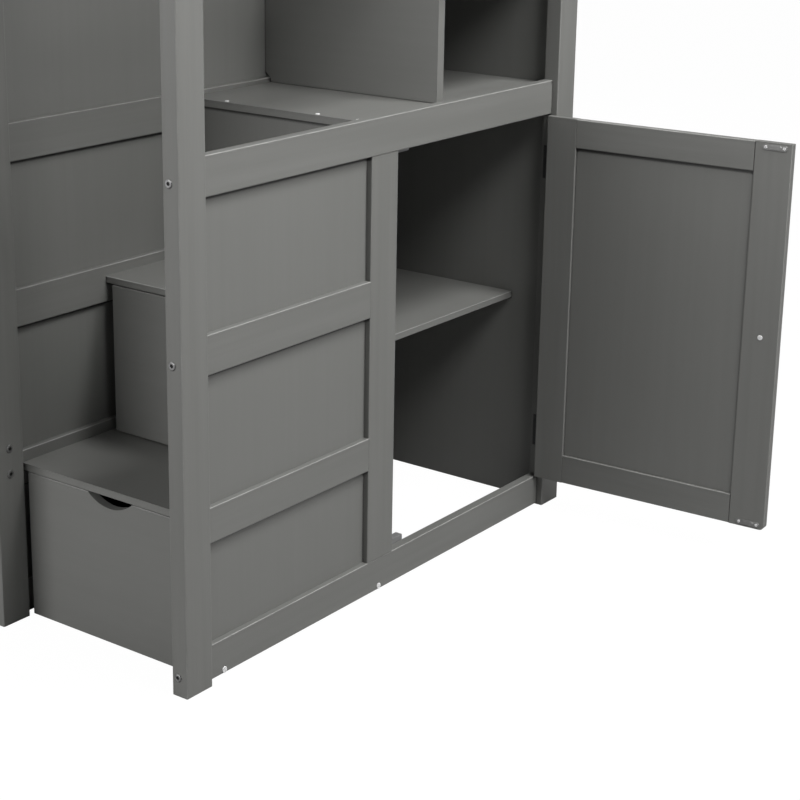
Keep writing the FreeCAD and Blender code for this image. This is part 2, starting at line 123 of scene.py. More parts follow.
def new_group(name, kind, inputs, outputs):
    """A node group with named sockets. Each input is a name, a socket type and a starting value."""
    group = bpy.data.node_groups.new(name, kind)
    for label, socket_type, start in inputs:
        socket = group.interface.new_socket(label, in_out="INPUT", socket_type="NodeSocket" + socket_type)
        if start is not None:
            socket.default_value = start
    for label, socket_type in outputs:
        group.interface.new_socket(label, in_out="OUTPUT", socket_type="NodeSocket" + socket_type)
    return group, group.nodes.new("NodeGroupInput").outputs, group.nodes.new("NodeGroupOutput").inputs


def new_material(name):
    material = bpy.data.materials.new(name)
    material.use_nodes = True
    return material, material.node_tree, material.node_tree.nodes["Principled BSDF"]


# %% [markdown]
# A studio lights furniture with soft boxes on a white ground. Three stand high off the stair end,
# so that each rail shades the panel under it, and a low one lifts the end's lower part. A wide one
# lights the front, with a weak one beside it, so that the two faces of each post differ in tone.
# The others keep the bed, the wall side and the far end from going black, for whoever walks round.
# An area light is the nearest thing to a soft box: its size sets how soft the shadows are.

# %% Soft boxes
stair_middle = Vector((corner.x - 0.2, 0, 0.8))
SOFT_BOXES = {
    # name: (place, width, height, power in watts)
    "end_light": ((corner.x + 1.8, -0.5, 2.8), 0.9, 0.9, 44),
    "high_light": ((corner.x + 1.2, 0.4, 3.2), 0.6, 0.6, 54),
    "rear_end_light": ((corner.x + 2.4, 0.3, 2.4), 0.9, 0.9, 10),
    "low_end_light": ((corner.x + 3.4, 0.9, 1.4), 2.0, 2.0, 29),
    "front_light": ((corner.x - 1.6, -4.0, 1.7), 3.2, 2.2, 106),
    "front_fill": ((corner.x + 1.0, -4.0, 2.3), 2.0, 2.0, 4),
    "bed_light": ((corner.x - 1.8, -1.5, 3.6), 2.0, 2.0, 4),
    "wall_side_light": ((-2.4, 3.6, 2.4), 2.6, 1.8, 65),
    "far_end_light": ((-4.6, 0.6, 1.8), 2.0, 1.8, 45),
}


def soft_box(name, place, width, height, watts):
    data = bpy.data.lights.new(name, "AREA")
    data.shape = "RECTANGLE"
    data.size, data.size_y = width, height
    data.energy = watts
    lamp = link(bpy.data.objects.new(name, data))
    lamp.location = place
    lamp.rotation_euler = (Vector(place) - stair_middle).to_track_quat("Z", "Y").to_euler()


for name, (place, width, height, watts) in SOFT_BOXES.items():
    soft_box(name, place, width, height, watts)
print("soft boxes:", ", ".join(SOFT_BOXES))

# %% [markdown]
# The surroundings look white, but they give back little light, and most of it from above. A
# hollow such as the cupboard then stays dark, and each face fades towards the floor.
# A world can do both, because a ray knows whether it comes from the camera or from a surface.

# %% Surroundings
UPPER_GLOW, LOWER_GLOW = 0.10, 0.03
GLOW_STARTS, GLOW_FULL = 0.2, 0.9
world = bpy.data.worlds.new("studio")
world.use_nodes = True
bpy.context.scene.world = world
sky = world.node_tree
direction = put(sky, "ShaderNodeTexCoord").outputs["Generated"]
above = put(sky, "ShaderNodeSeparateXYZ", {0: direction}).outputs["Z"]
glow = put(sky, "ShaderNodeMapRange", {"Value": above, "From Min": GLOW_STARTS, "From Max": GLOW_FULL,
                                       "To Min": LOWER_GLOW, "To Max": UPPER_GLOW}).outputs[0]
felt = put(sky, "ShaderNodeBackground", {"Color": (1, 1, 1, 1), "Strength": glow})
seen = put(sky, "ShaderNodeBackground", {"Color": (1, 1, 1, 1), "Strength": 1.0})
by_eye = put(sky, "ShaderNodeLightPath").outputs["Is Camera Ray"]
blend = put(sky, "ShaderNodeMixShader", {0: by_eye, 1: felt.outputs[0], 2: seen.outputs[0]})
sky.links.new(blend.outputs[0], sky.nodes["World Output"].inputs["Surface"])
print("surroundings:", world.name, "gives", LOWER_GLOW, "to", UPPER_GLOW)

# %% [markdown]
# The floor is a sheet of pale paper. A white one would light the bed from below and wash out the
# hollows, so its true colour is a mid grey that the camera sees as nearly plain white.
# A trace of the real shading is left, and it grounds the posts.

# %% Floor
FLOOR_GIVES_BACK = 0.3
FLOOR_ROUGHNESS = 0.9
FLOOR_WHITE_SHARE, FLOOR_WHITE = 0.93, 1.06
FLOOR_HALF = 30.0


def floor_material():
    material, tree, paper = new_material("pale_floor")
    paper.inputs["Base Color"].default_value = (*(FLOOR_GIVES_BACK,) * 3, 1)
    paper.inputs["Roughness"].default_value = FLOOR_ROUGHNESS
    white = put(tree, "ShaderNodeEmission", {"Color": (1, 1, 1, 1), "Strength": FLOOR_WHITE})
    eye = put(tree, "ShaderNodeLightPath").outputs["Is Camera Ray"]
    share = calc(tree, "MULTIPLY", eye, FLOOR_WHITE_SHARE)
    mixed = put(tree, "ShaderNodeMixShader", {0: share, 1: paper.outputs[0], 2: white.outputs[0]})
    tree.links.new(mixed.outputs[0], tree.nodes["Material Output"].inputs["Surface"])
    return material


floor_mesh = bpy.data.meshes.new("floor")
floor_corners = [(x * FLOOR_HALF, y * FLOOR_HALF, 0) for x, y in ((-1, -1), (1, -1), (1, 1), (-1, 1))]
floor_mesh.from_pydata(floor_corners, [], [(0, 1, 2, 3)])
floor_mesh.materials.append(floor_material())
link(bpy.data.objects.new("floor", floor_mesh))
print("floor:", 2 * FLOOR_HALF, "m across")

# %% [markdown]
# Sprayed paint over softwood is not one flat grey. The grain lies under it as long soft streaks
# and a faint relief, and the film is a little thicker in some patches than in others.
# Solid noise stretched along the grain gives both, so no map has to be unwrapped.
# The first group does this. Its vector has the grain along X, whatever way the board runs.

# %% Shader group: grain under a film
grain, given, result = new_group("grain_under_film", "ShaderNodeTree",
                                 [("Vector", "Vector", None), ("Streaks", "Float", 0.5),
                                  ("Patches", "Float", 0.5)],
                                 [("Tone", "Float"), ("Relief", "Float")])
STREAK_STRETCH = (2.2, 75.0, 75.0)
FIBRE_STRETCH = (14.0, 430.0, 430.0)
PATCH_SCALE = 2.6


def stretched_noise(tree, vector, stretch, detail=3.0, distortion=0.0):
    placed = put(tree, "ShaderNodeMapping", {"Vector": vector, "Scale": stretch}).outputs[0]
    return put(tree, "ShaderNodeTexNoise", {"Vector": placed, "Scale": 1.0, "Detail": detail,
                                            "Distortion": distortion}).outputs["Fac"]


streaks = stretched_noise(grain, given["Vector"], STREAK_STRETCH, 4.0, 0.3)
fibres = stretched_noise(grain, given["Vector"], FIBRE_STRETCH, 2.0)
patches = stretched_noise(grain, given["Vector"], (PATCH_SCALE,) * 3, 2.0)
streak_part = calc(grain, "MULTIPLY", calc(grain, "SUBTRACT", streaks, 0.5), given["Streaks"])
patch_part = calc(grain, "MULTIPLY", calc(grain, "SUBTRACT", patches, 0.5), given["Patches"])
grain.links.new(calc(grain, "ADD", calc(grain, "ADD", streak_part, patch_part), 0.5), result["Tone"])
coarse = calc(grain, "MULTIPLY", streaks, 0.6)
fine = calc(grain, "MULTIPLY", fibres, 0.4)
grain.links.new(calc(grain, "ADD", coarse, fine), result["Relief"])
print("group:", grain.name, [item.name for item in grain.interface.items_tree])

# %% [markdown]
# Every board has its edges eased, where the film is thinner and worn smooth by sanding and handling.
# The light line along each edge is partly that wear and partly a painted highlight, most on upper edges.
# A flat face of a square board points along one axis, and only the eased strip points between
# two. The second group measures that from the normal in the piece's own space, so that the line
# stays on the edge when the piece moves.

# %% Shader group: edge wear and painted highlight
EDGE_STARTS, EDGE_FULL = 0.985, 0.8
wear_highlight_group, given, result = new_group("edge_wear_and_highlight", "ShaderNodeTree",
                                  [("Normal", "Vector", None), ("Vector", "Vector", None)],
                                  [("Edge", "Float")])
unsigned = put(wear_highlight_group, "ShaderNodeVectorMath", {0: given["Normal"]}, operation="ABSOLUTE").outputs[0]
axes = put(wear_highlight_group, "ShaderNodeSeparateXYZ", {0: unsigned}).outputs
squareness = calc(wear_highlight_group, "MAXIMUM", calc(wear_highlight_group, "MAXIMUM", axes[0], axes[1]), axes[2])
strip = put(wear_highlight_group, "ShaderNodeMapRange", {"Value": squareness, "From Min": EDGE_STARTS,
                                           "From Max": EDGE_FULL}).outputs[0]
uneven = stretched_noise(wear_highlight_group, given["Vector"], (22.0,) * 3, 2.0)
worn = put(wear_highlight_group, "ShaderNodeMapRange", {"Value": uneven, "From Min": 0.35, "From Max": 0.65,
                                          "To Min": 0.45, "To Max": 1.0}).outputs[0]
# painted highlight: upper edges are made paler, as if lit from above
upward = put(wear_highlight_group, "ShaderNodeSeparateXYZ", {0: given["Normal"]}).outputs["Z"]
share = put(wear_highlight_group, "ShaderNodeMapRange", {"Value": upward, "From Min": 0.0, "From Max": 0.6,
                                           "To Min": 0.3, "To Max": 1.0}).outputs[0]
wear_highlight_group.links.new(calc(wear_highlight_group, "MULTIPLY", calc(wear_highlight_group, "MULTIPLY", strip, worn), share), result["Edge"])
print("group:", wear_highlight_group.name)

# %% [markdown]
# A sprayed film dries with a fine pebble in it, and moulded plastic has much the same skin.
# The third group is that pebble. It is a height for a Bump node, and its grain size is an input.

# %% Shader group: pebbled skin
pebble, given, result = new_group("pebbled_skin", "ShaderNodeTree",
                                  [("Vector", "Vector", None), ("Per Metre", "Float", 450.0)],
                                  [("Height", "Float")])
skin = put(pebble, "ShaderNodeTexNoise", {"Vector": given["Vector"], "Scale": given["Per Metre"],
                                          "Detail": 1.0}).outputs["Fac"]
pebble.links.new(skin, result["Height"])
print("group:", pebble.name)

# %% [markdown]
# Under each rail the panel meets a sharp inner corner, and a thin dark line of painted shade
# runs along it, where the rail would shade the panel.
# The fourth group finds that line with short rays sent up and outwards from the surface. Rays that
# meet a rail within a few millimetres mark the corner, and level faces are left out.

# %% Shader group: painted shade in inner corners
CORNER_REACH = 0.008
CORNER_RAYS = 8
CORNER_STARTS, CORNER_FULL = 0.66, 0.46
shade_group, given, result = new_group("painted_corner_shade", "ShaderNodeTree",
                                        [("Normal", "Vector", None)], [("Painted Shade", "Float")])
outward = put(shade_group, "ShaderNodeNewGeometry").outputs["Normal"]
slanted = put(shade_group, "ShaderNodeVectorMath", {0: outward, 1: (0.5, 0.5, 0.5), 2: (0, 0, 1)},
              operation="MULTIPLY_ADD").outputs[0]
aim = put(shade_group, "ShaderNodeVectorMath", {0: slanted}, operation="NORMALIZE").outputs[0]
clear = put(shade_group, "ShaderNodeAmbientOcclusion", {"Distance": CORNER_REACH, "Normal": aim},
            samples=CORNER_RAYS).outputs["AO"]
hidden = put(shade_group, "ShaderNodeMapRange", {"Value": clear, "From Min": CORNER_STARTS,
                                                  "From Max": CORNER_FULL}).outputs[0]
tilt = put(shade_group, "ShaderNodeSeparateXYZ", {0: given["Normal"]}).outputs["Z"]
steepness = calc(shade_group, "SUBTRACT", 1.0, calc(shade_group, "ABSOLUTE", tilt))
shade_group.links.new(calc(shade_group, "MULTIPLY", hidden, steepness), result["Painted Shade"])
print("group:", shade_group.name)

# %% [markdown]
# The grey paint. Rails and posts are solid pine, whose grain shows a little through the film.
# Panels, treads and fronts are board, which is smoother. Each gets one material for each way
# that its grain can run, because a solid pattern has to be turned to follow the board.

# %% Painted wood
GREY_LOW = (0.165, 0.166, 0.157)
GREY_HIGH = (0.195, 0.196, 0.187)
# the edge line's colour: partly worn film, partly painted highlight
GREY_EDGE_WEAR_HIGHLIGHT = (0.44, 0.44, 0.425)
# the colour of the painted shade in the inner corners under rails
PAINTED_SHADE_GREY = (0.02, 0.02, 0.019)
TURN_TO_X = {"x": (0, 0, 0), "y": (0, 0, math.radians(90)), "z": (0, math.radians(90), 0)}
PATCHINESS = 0.5
EDGE_SHOWS = 0.75
SPRAY_PEBBLES = 480.0
FILM_RELIEF = 0.35
ROUGHNESS_LEAST, ROUGHNESS_SPREAD, EDGE_SMOOTHING = 0.40, 0.12, 0.1


def use_group(tree, group, **inputs):
    return put(tree, "ShaderNodeGroup", {k.replace("_", " "): v for k, v in inputs.items()},
               node_tree=group).outputs


def colour_between(tree, factor, first, second):
    node = put(tree, "ShaderNodeMix", {"Factor": factor}, data_type="RGBA")
    for socket, value in (("A", first), ("B", second)):
        if isinstance(value, bpy.types.NodeSocket):
            tree.links.new(value, node.inputs[socket])
        else:
            node.inputs[socket].default_value = (*value, 1)
    return [o for o in node.outputs if o.name == "Result" and o.type == "RGBA"][0]


def painted_wood(name, along, streaks, relief):
    material, tree, paint = new_material(f"{name}_along_{along}")
    place = put(tree, "ShaderNodeTexCoord").outputs
    turned = put(tree, "ShaderNodeMapping", {"Vector": place["Object"],
                                             "Rotation": TURN_TO_X[along]}).outputs[0]
    wood = use_group(tree, grain, Vector=turned, Streaks=streaks, Patches=PATCHINESS)
    edge = use_group(tree, wear_highlight_group, Normal=place["Normal"], Vector=place["Object"])["Edge"]
    film = use_group(tree, pebble, Vector=place["Object"], Per_Metre=SPRAY_PEBBLES)["Height"]
    # painted shade: the base colour is darkened in the inner corner under each rail
    painted_shade = use_group(tree, shade_group, Normal=place["Normal"])["Painted Shade"]
    body = colour_between(tree, wood["Tone"], GREY_LOW, GREY_HIGH)
    # paler edges: partly wear, partly a painted highlight that is strongest on upper edges
    worn_lit_body = colour_between(tree, calc(tree, "MULTIPLY", edge, EDGE_SHOWS), body, GREY_EDGE_WEAR_HIGHLIGHT)
    tree.links.new(colour_between(tree, painted_shade, worn_lit_body, PAINTED_SHADE_GREY), paint.inputs["Base Color"])
    roughness = calc(tree, "MULTIPLY_ADD", wood["Tone"], ROUGHNESS_SPREAD, ROUGHNESS_LEAST)
    smoothing = calc(tree, "MULTIPLY", edge, EDGE_SMOOTHING)
    tree.links.new(calc(tree, "SUBTRACT", roughness, smoothing), paint.inputs["Roughness"])
    height = calc(tree, "MULTIPLY_ADD", film, FILM_RELIEF, calc(tree, "MULTIPLY", wood["Relief"], relief))
    bump = put(tree, "ShaderNodeBump", {"Height": height, "Strength": 0.35, "Distance": 0.0006})
    tree.links.new(bump.outputs[0], paint.inputs["Normal"])
    paint.inputs["Coat Weight"].default_value = 0.06
    paint.inputs["Coat Roughness"].default_value = 0.25
    return material


solid_wood = {along: painted_wood("painted_pine", along, 1.3, 0.9) for along in "xyz"}
flat_board = {along: painted_wood("painted_board", along, 0.55, 0.4) for along in "xyz"}
print("painted finishes:", [m.name for m in (*solid_wood.values(), *flat_board.values())])

# %% [markdown]
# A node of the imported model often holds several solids, such as two rails or fourteen slats, in
# one mesh. Walking from corner to corner along the edges finds each solid, because no edge leads
# from one to the next. Later cells use this to give each screw, bolt and slat its own place.


# %% Splitting a node into its solids
def solids_of(node):
    """The vertex positions of each separate solid in a node's mesh."""
    mesh = bmesh.new()
    mesh.from_mesh(frame["nodes"][node].data)
    bmesh.ops.remove_doubles(mesh, verts=mesh.verts, dist=1e-5)
    waiting, found = set(mesh.verts), []
    while waiting:
        edge_of_search = [min(waiting, key=lambda v: v.index)]
        waiting.discard(edge_of_search[0])
        solid = []
        while edge_of_search:
            vertex = edge_of_search.pop()
            solid.append(vertex.co.copy())
            for other in (e.other_vert(vertex) for e in vertex.link_edges):
                if other in waiting:
                    waiting.discard(other)
                    edge_of_search.append(other)
        found.append(solid)
    mesh.free()
    return found


def box_of(points):
    low = Vector(min(p[k] for p in points) for k in range(3))
    high = Vector(max(p[k] for p in points) for k in range(3))
    return low, high


print("solids in the slats' node:", len(solids_of("mattress_slats")))

# %% [markdown]
# Wood is cut with its grain along the board, so the axis along which a node's solids are longest
# in total is the way of its grain. A panel's grain runs up, whatever its shape.
# Each painted node then gets the finish for its kind of wood and its way.


# %% Paint on every board
def grain_way(node):
    totals = Vector()
    for solid in solids_of(node):
        low, high = box_of(solid)
        totals += high - low
    return "xyz"[max(range(3), key=lambda k: totals[k])]


BOARD_NODES = ("panel", "tread", "drawer", "shelf", "shelves", "riser", "front_wall", "desk_top")
slot_of = {node: piece.data.materials[0].name for node, piece in frame["nodes"].items()}
for node, piece in frame["nodes"].items():
    if slot_of[node] == "grey_painted_wood":
        kinds = flat_board if any(word in node for word in BOARD_NODES) else solid_wood
        way = "z" if "panel" in node else grain_way(node)
        piece.material_slots[0].material = kinds[way]
print("grain of the end rails:", grain_way("end_cross_rails"),
      "and of a post:", grain_way("stair_front_post"))

# %% [markdown]
# The mattress lies on bare pine slats. Pine has broad soft rings that run as long bands, darker
# where the summer wood is, and a board-to-board change in colour.
# The bands are noise stretched along the slat, sharpened to a ring's uneven edge. Each slat
# carries a random number of its own, which moves the bands and shifts the colour.

# %% Bare pine
PINE_LIGHT = (0.70, 0.50, 0.29)
PINE_DARK = (0.50, 0.30, 0.14)
BANDS_PER_NOISE = 9.0
SUMMER_SHARPNESS = 2.2
JUMP_BETWEEN_BOARDS = 7.0


def bare_pine():
    material, tree, wood = new_material("bare_pine")
    place = put(tree, "ShaderNodeTexCoord").outputs["Object"]
    own = put(tree, "ShaderNodeAttribute", attribute_name="board_number").outputs["Fac"]
    along_board = calc(tree, "MULTIPLY", own, JUMP_BETWEEN_BOARDS)
    jump = put(tree, "ShaderNodeCombineXYZ", {0: along_board, 2: own}).outputs[0]
    moved = put(tree, "ShaderNodeVectorMath", {0: place, 1: jump}, operation="ADD").outputs[0]
    turned = put(tree, "ShaderNodeMapping", {"Vector": moved, "Rotation": TURN_TO_X["y"]}).outputs[0]
    rings = stretched_noise(tree, turned, (0.8, 30.0, 30.0), 2.0, 0.6)
    bands = calc(tree, "FRACT", calc(tree, "MULTIPLY", rings, BANDS_PER_NOISE))
    summer = calc(tree, "POWER", bands, SUMMER_SHARPNESS)
    fibre = use_group(tree, grain, Vector=turned, Streaks=1.0, Patches=0.4)
    colour = colour_between(tree, calc(tree, "MULTIPLY", summer, 0.55), PINE_LIGHT, PINE_DARK)
    toned = colour_between(tree, calc(tree, "MULTIPLY", fibre["Tone"], 0.35), colour, PINE_DARK)
    per_board = colour_between(tree, calc(tree, "MULTIPLY", own, 0.25), toned, PINE_LIGHT)
    tree.links.new(per_board, wood.inputs["Base Color"])
    tree.links.new(calc(tree, "MULTIPLY_ADD", summer, -0.12, 0.62), wood.inputs["Roughness"])
    bump = put(tree, "ShaderNodeBump", {"Height": calc(tree, "ADD", fibre["Relief"], summer),
                                        "Strength": 0.3, "Distance": 0.0006})
    tree.links.new(bump.outputs[0], wood.inputs["Normal"])
    return material


pine = bare_pine()
print("finish:", pine.name)

# %% [markdown]
# Bolts, screws and pins are zinc-plated steel, a little cloudy and finely scratched, and the
# hinges are the same steel blackened. The small screws and the plates in the door are nickel.
# The hole that takes the key is painted dark as its shade, and an attribute on the heads says where it is.

# %% Plated steel
SOCKET_PAINTED_SHADE = (0.05, 0.05, 0.05)


def plated_steel(name, bright, dull, rough):
    material, tree, metal = new_material(name)
    place = put(tree, "ShaderNodeTexCoord").outputs["Object"]
    cloud = stretched_noise(tree, place, (180.0,) * 3, 3.0)
    scratches = stretched_noise(tree, place, (300.0, 2600.0, 900.0), 2.0)
    hole = put(tree, "ShaderNodeAttribute", attribute_name="in_the_hole").outputs["Fac"]
    plate = colour_between(tree, cloud, dull, bright)
    # painted shade: the hole in each head is darkened in the base colour
    tree.links.new(colour_between(tree, hole, plate, SOCKET_PAINTED_SHADE), metal.inputs["Base Color"])
    tree.links.new(calc(tree, "MULTIPLY_ADD", cloud, 0.22, rough), metal.inputs["Roughness"])
    metal.inputs["Metallic"].default_value = 1.0
    bump = put(tree, "ShaderNodeBump", {"Height": scratches, "Strength": 0.12, "Distance": 0.0002})
    tree.links.new(bump.outputs[0], metal.inputs["Normal"])
    return material


zinc = plated_steel("zinc_plate", (0.46, 0.46, 0.45), (0.28, 0.28, 0.29), 0.3)
dull_nickel = plated_steel("dull_nickel", (0.36, 0.36, 0.35), (0.22, 0.22, 0.22), 0.42)
dark_steel = plated_steel("blackened_steel", (0.13, 0.13, 0.13), (0.07, 0.07, 0.07), 0.5)
print("steels:", zinc.name, dull_nickel.name, dark_steel.name)

# %% [markdown]
# The catches and the strips that the drawers run on are moulded plastic. It has the pebbled skin
# from before at a finer scale, and its edges are a little paler, partly from wear and partly a painted highlight.
# Every node that isn't painted then takes its finish by the name of its slot.

# %% Plastic, and the other slots
MOULD_PEBBLES = 1600.0


def moulded_plastic(name, low, high, rough):
    material, tree, plastic = new_material(name)
    place = put(tree, "ShaderNodeTexCoord").outputs
    cloud = stretched_noise(tree, place["Object"], (60.0,) * 3, 2.0)
    edge = use_group(tree, wear_highlight_group, Normal=place["Normal"], Vector=place["Object"])["Edge"]
    skin = use_group(tree, pebble, Vector=place["Object"], Per_Metre=MOULD_PEBBLES)["Height"]
    colour = colour_between(tree, cloud, low, high)
    # paler edges: partly wear, partly a painted highlight that is strongest on upper edges
    lighter = colour_between(tree, calc(tree, "MULTIPLY", edge, 0.3), colour, high)
    tree.links.new(lighter, plastic.inputs["Base Color"])
    tree.links.new(calc(tree, "MULTIPLY_ADD", cloud, 0.15, rough), plastic.inputs["Roughness"])
    bump = put(tree, "ShaderNodeBump", {"Height": skin, "Strength": 0.2, "Distance": 0.0003})
    tree.links.new(bump.outputs[0], plastic.inputs["Normal"])
    return material


finishes = {
    "bright_steel": zinc,
    "white_plastic": moulded_plastic("white_moulding", (0.72, 0.72, 0.70), (0.84, 0.84, 0.82), 0.35),
    "grey_plastic": moulded_plastic("grey_moulding", (0.17, 0.17, 0.17), (0.24, 0.24, 0.24), 0.38),
    "natural_pine": pine,
}
for node, piece in frame["nodes"].items():
    if slot_of[node] in finishes:
        piece.material_slots[0].material = finishes[slot_of[node]]
    if node.startswith("hinge_"):
        piece.material_slots[0].material = dark_steel
print("slots finished:", sorted(set(slot_of.values())))

# %% [markdown]
# The slats and the guard boards repeat one section at different places and lengths, which is what
# Geometry Nodes are good at. The seed of the tree is a set of centre lines, one for each board.
# The tree sweeps a rounded rectangle along each line, closes its ends, and gives each board a
# random number from a fixed seed. Only the lines change from one set of boards to the next.


# %% Geometry tree: eased boards
def add_node_inputs(name, sockets):
    return new_group(name, "GeometryNodeTree", [("Geometry", "Geometry", None), *sockets],
                     [("Geometry", "Geometry")])


boards, given, result = add_node_inputs("eased_boards", [
    ("Thickness", "Float", 0.018), ("Width", "Float", 0.06), ("Edge Radius", "Float", 0.002),
    ("End Size", "Float", 0.96), ("Finish", "Material", None), ("Seed", "Int", 7)])
lines = put(boards, "GeometryNodeMeshToCurve", {0: given["Geometry"]}).outputs[0]
upright = put(boards, "GeometryNodeSetCurveNormal", {0: lines}, mode="Z_UP").outputs[0]
numbers = put(boards, "FunctionNodeRandomValue", {"ID": put(boards, "GeometryNodeInputIndex").outputs[0],
                                                  "Seed": given["Seed"]}, data_type="FLOAT")
number = [o for o in numbers.outputs if o.type == "VALUE" and o.enabled][0]
counted = put(boards, "GeometryNodeStoreNamedAttribute", {"Geometry": upright, "Name": "board_number",
                                                          "Value": number},
              data_type="FLOAT", domain="CURVE").outputs[0]
ends = put(boards, "GeometryNodeCurveEndpointSelection").outputs[0]
narrowed = put(boards, "GeometryNodeSetCurveRadius", {"Curve": counted, "Radius": 1.0}).outputs[0]
narrowed = put(boards, "GeometryNodeSetCurveRadius", {"Curve": narrowed, "Selection": ends,
                                                      "Radius": given["End Size"]}).outputs[0]
section = put(boards, "GeometryNodeCurvePrimitiveQuadrilateral", {"Width": given["Thickness"],
                                                                  "Height": given["Width"]}).outputs[0]
rounded = put(boards, "GeometryNodeFilletCurve", {"Curve": section, "Radius": given["Edge Radius"],
                                                  "Count": 2}, mode="POLY").outputs[0]
swept = put(boards, "GeometryNodeCurveToMesh", {"Curve": narrowed, "Profile Curve": rounded,
                                                "Fill Caps": True}).outputs[0]
real = put(boards, "GeometryNodeRealizeInstances", {0: swept}).outputs[0]
painted = put(boards, "GeometryNodeSetMaterial", {"Geometry": real, "Material": given["Finish"]}).outputs[0]
boards.links.new(painted, result["Geometry"])
print("tree:", boards.name, "with", len(boards.nodes), "nodes")

# %% [markdown]
# A tree is used by hanging it on an object as a modifier, setting its inputs, and reading back
# the evaluated shape as a plain mesh. The modifier and its object are then thrown away, because
# the finished piece has to be simple geometry that any other program can read.


# %% Growing a piece from a tree
def grow(name, seed_mesh, tree, values):
    holder = link(bpy.data.objects.new(name + "_seed", seed_mesh))
    modifier = holder.modifiers.new("grow", "NODES")
    modifier.node_group = tree
    for item in tree.interface.items_tree:
        if item.item_type == "SOCKET" and item.in_out == "INPUT" and item.name in values:
            modifier[item.identifier] = values[item.name]
    graph = bpy.context.evaluated_depsgraph_get()
    mesh = bpy.data.meshes.new_from_object(holder.evaluated_get(graph), preserve_all_data_layers=True,
                                           depsgraph=graph)
    holder.modifiers.remove(modifier)
    bpy.data.objects.remove(holder)
    shell = bmesh.new()
    shell.from_mesh(mesh)
    bmesh.ops.remove_doubles(shell, verts=shell.verts, dist=1e-6)
    bmesh.ops.recalc_face_normals(shell, faces=shell.faces)
    shell.to_mesh(mesh)
    shell.free()
    return link(bpy.data.objects.new(name, mesh))


def stands_for(piece, node):
    """The piece takes over a node's body and place, and the node is hidden."""
    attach(piece, node_body[node])
    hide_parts(node)


print("ready to grow pieces")

# %% [markdown]
# A slat or a guard board is straight, so its line is its box's middle line. Two more points close
# to the ends let the tree draw the last two millimetres in, which eases the end grain as well.

# %% Centre lines of boards
END_EASE = 0.002


def board_lines(name, node, way):
    """Centre lines, one for each solid of a node that runs the given way, and the solids' sections."""
    points, edges, sections = [], [], []
    k = "xyz".index(way)
    for solid in solids_of(node):
        low, high = box_of(solid)
        size = high - low
        if max(range(3), key=lambda i: size[i]) != k:
            continue
        middle = (low + high) / 2
        first = len(points)
        for along in (low[k], low[k] + END_EASE, high[k] - END_EASE, high[k]):
            point = middle.copy()
            point[k] = along
            points.append(point)
        edges += [(first, first + 1), (first + 1, first + 2), (first + 2, first + 3)]
        sections.append((size[1 - k], size.z))
    mesh = bpy.data.meshes.new(name)
    mesh.from_pydata(points, edges, [])
    return mesh, sections


def grow_boards(name, node, way, finish):
    mesh, sections = board_lines(name, node, way)
    across, tall = sections[0]
    return grow(name, mesh, boards, {"Thickness": across, "Width": tall, "Finish": finish})


stands_for(grow_boards("bed_slats", "mattress_slats", "y", pine), "mattress_slats")
stands_for(grow_boards("front_and_rear_guards", "long_guard_boards", "x", solid_wood["x"]),
           "long_guard_boards")
stands_for(grow_boards("end_guards", "end_guard_boards", "y", solid_wood["y"]), "end_guard_boards")

# %% [markdown]
# The guard round the stairs turns a corner, so some of its boards run along the bed and some
# across. Each way is grown with its own grain, and the two are made one piece with two finishes.


# %% Boards that run both ways
def join(name, pieces):
    """Grown pieces made one mesh. The first keeps its finish, and the rest take the second's."""
    whole = bmesh.new()
    finishes_used = []
    for piece in pieces:
        whole.from_mesh(piece.data)
        finishes_used.append(piece.data.materials[0])
    first = len(pieces[0].data.polygons)
    whole.faces.ensure_lookup_table()
    for face in whole.faces[first:]:
        face.material_index = 1
    mesh = bpy.data.meshes.new(name)
    whole.to_mesh(mesh)
    whole.free()
    for finish in finishes_used:
        mesh.materials.append(finish)
    for piece in pieces:
        bpy.data.objects.remove(piece)
    return link(bpy.data.objects.new(name, mesh))


stair_guards = [grow_boards(f"stair_guards_{way}", "stair_guard_boards", way, solid_wood[way])
                for way in "xy"]
stands_for(join("stair_guards", stair_guards), "stair_guard_boards")

# %% [markdown]
# Socket-head bolts draw the posts on to the rails, and cross-head screws hold the small parts.
# Both are one turned outline with a shaped hole in the middle, so one tree makes both.
# The tree starts from a flat grid, whose rows will be the rings of the head. A point's number in
# the grid gives the row that it is in and its angle round the axis.

# %% Geometry tree: fastener heads, the rings
SIDES = 24
heads, given, result = add_node_inputs("fastener_heads", [
    ("Head Radius", "Float", 0.006), ("Head Height", "Float", 0.0016), ("Hole Radius", "Float", 0.0026),
    ("Hole Depth", "Float", 0.0012), ("Lobes", "Float", 6.0), ("Lobe Depth", "Float", 0.07),
    ("Sink", "Float", 0.0004), ("Finish", "Material", None), ("Seed", "Int", 11)])
# Each ring's share of: head radius, hole radius, head height, hole depth, sink
RINGS = [(0.0, 0.0, 0.0, 0.0, 1.0), (0.97, 0.0, 0.0, 0.0, 1.0), (1.0, 0.0, 0.15, 0.0, 0.0),
         (1.0, 0.0, 0.55, 0.0, 0.0), (0.95, 0.0, 0.85, 0.0, 0.0), (0.86, 0.0, 1.0, 0.0, 0.0),
         (0.0, 1.22, 1.0, 0.0, 0.0), (0.0, 1.0, 0.9, 0.0, 0.0), (0.0, 0.92, 1.0, -1.0, 0.0),
         (0.0, 0.0, 1.0, -1.1, 0.0)]
HOLE_RIM = 6
grid = put(heads, "GeometryNodeMeshGrid", {"Vertices X": len(RINGS), "Vertices Y": SIDES + 1}).outputs[0]
index = put(heads, "GeometryNodeInputIndex").outputs[0]
row = calc(heads, "FLOOR", calc(heads, "DIVIDE", calc(heads, "ADD", index, 0.5), SIDES + 1))
